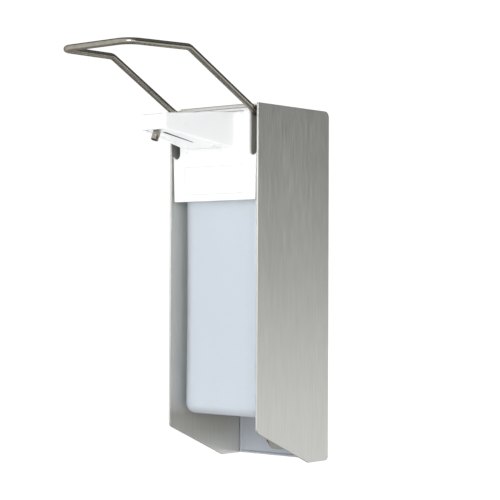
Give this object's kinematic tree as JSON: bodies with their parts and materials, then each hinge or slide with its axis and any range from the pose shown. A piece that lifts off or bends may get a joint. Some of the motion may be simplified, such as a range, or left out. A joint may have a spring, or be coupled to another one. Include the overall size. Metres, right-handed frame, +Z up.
{
  "type": "wall mounted soap dispenser",
  "caption": "Wall mounted soap dispenser: open stainless housing holding a bottle, white head with a wedge spout, and a long bent wire lever that works a piston pump.",
  "frame": {"origin": "centre of the four wall holes, on the housing's rear face, which lies against the wall", "axes": "+Z up, +Y into the wall, so the dispenser stands out towards -Y; +X to the right for a person who faces it"},
  "size_m": [0.092, 0.2205, 0.3169],
  "materials": {
    "brushed_stainless": "satin, vertical brushing",
    "folded_stainless": "satin",
    "plain_steel": "plain turned and pressed steel",
    "lever_wire": "polished drawn wire",
    "spring_steel": "bright drawn",
    "carrier_plastic": "fine matt moulding",
    "white_moulding": "smooth semi-gloss",
    "bottle_plastic": "translucent, silky",
    "acetal": "plain moulded",
    "rubber": "matt black"
  },
  "bodies": {
    "housing": {"housing_shell": "brushed_stainless", "back_carrier": "carrier_plastic", "rest_buffer": "rubber", "bottle_rest": "folded_stainless", "carrier_rivets": "plain_steel", "bearing_block_left": "acetal", "bearing_block_right": "acetal", "bearing_screws": "plain_steel", "head_bracket": "plain_steel", "bracket_screws": "plain_steel", "front_head": "white_moulding", "head_screws": "plain_steel", "spout_floor": "white_moulding", "tube_clips": "acetal", "slit_seal": "rubber", "arm_guides": "folded_stainless", "outlet_tube": "plain_steel", "outlet_nozzle": "plain_steel", "soap_bottle": "bottle_plastic", "neck_gasket": "rubber", "pump_collar": "acetal", "pump_cylinder": "acetal", "rod_guide": "acetal", "valve_block": "acetal", "ball_cage": "acetal", "delivery_valve": "acetal", "dip_tube": "acetal", "dip_strainer": "acetal", "return_spring": "spring_steel"},
    "piston": {"crosshead": "acetal", "piston_rod": "plain_steel", "rod_nut": "plain_steel", "piston": "acetal", "piston_seal": "rubber"},
    "lever": {"lever_arm": "lever_wire", "retaining_rings": "spring_steel"},
    "suction_ball": {"suction_ball": "plain_steel"},
    "delivery_ball": {"delivery_ball": "plain_steel"}
  },
  "joints": [
    {"name": "lever_press", "type": "hinge", "parent": "housing", "child": "lever", "pos_m": [0, -0.014, 0.128], "axis": [1, 0, 0], "range_deg": [0, 24], "stiffness_Nm_per_rad": 6, "springref_deg": -5.16},
    {"name": "piston_slide", "type": "slide", "parent": "housing", "child": "piston", "axis": [0, 0, -1], "range_m": [0, 0.015], "deforming": ["return_spring"]},
    {"name": "suction_ball_lift", "type": "slide", "parent": "housing", "child": "suction_ball", "axis": [0, 0, 1], "range_m": [0, 0.0035]},
    {"name": "delivery_ball_lift", "type": "slide", "parent": "housing", "child": "delivery_ball", "axis": [0, 0, 1], "range_m": [0, 0.0035]}
  ],
  "couplings": [
    {"joint": "piston_slide", "follows": "lever_press", "m_per_rad": 0.0356}
  ]
}
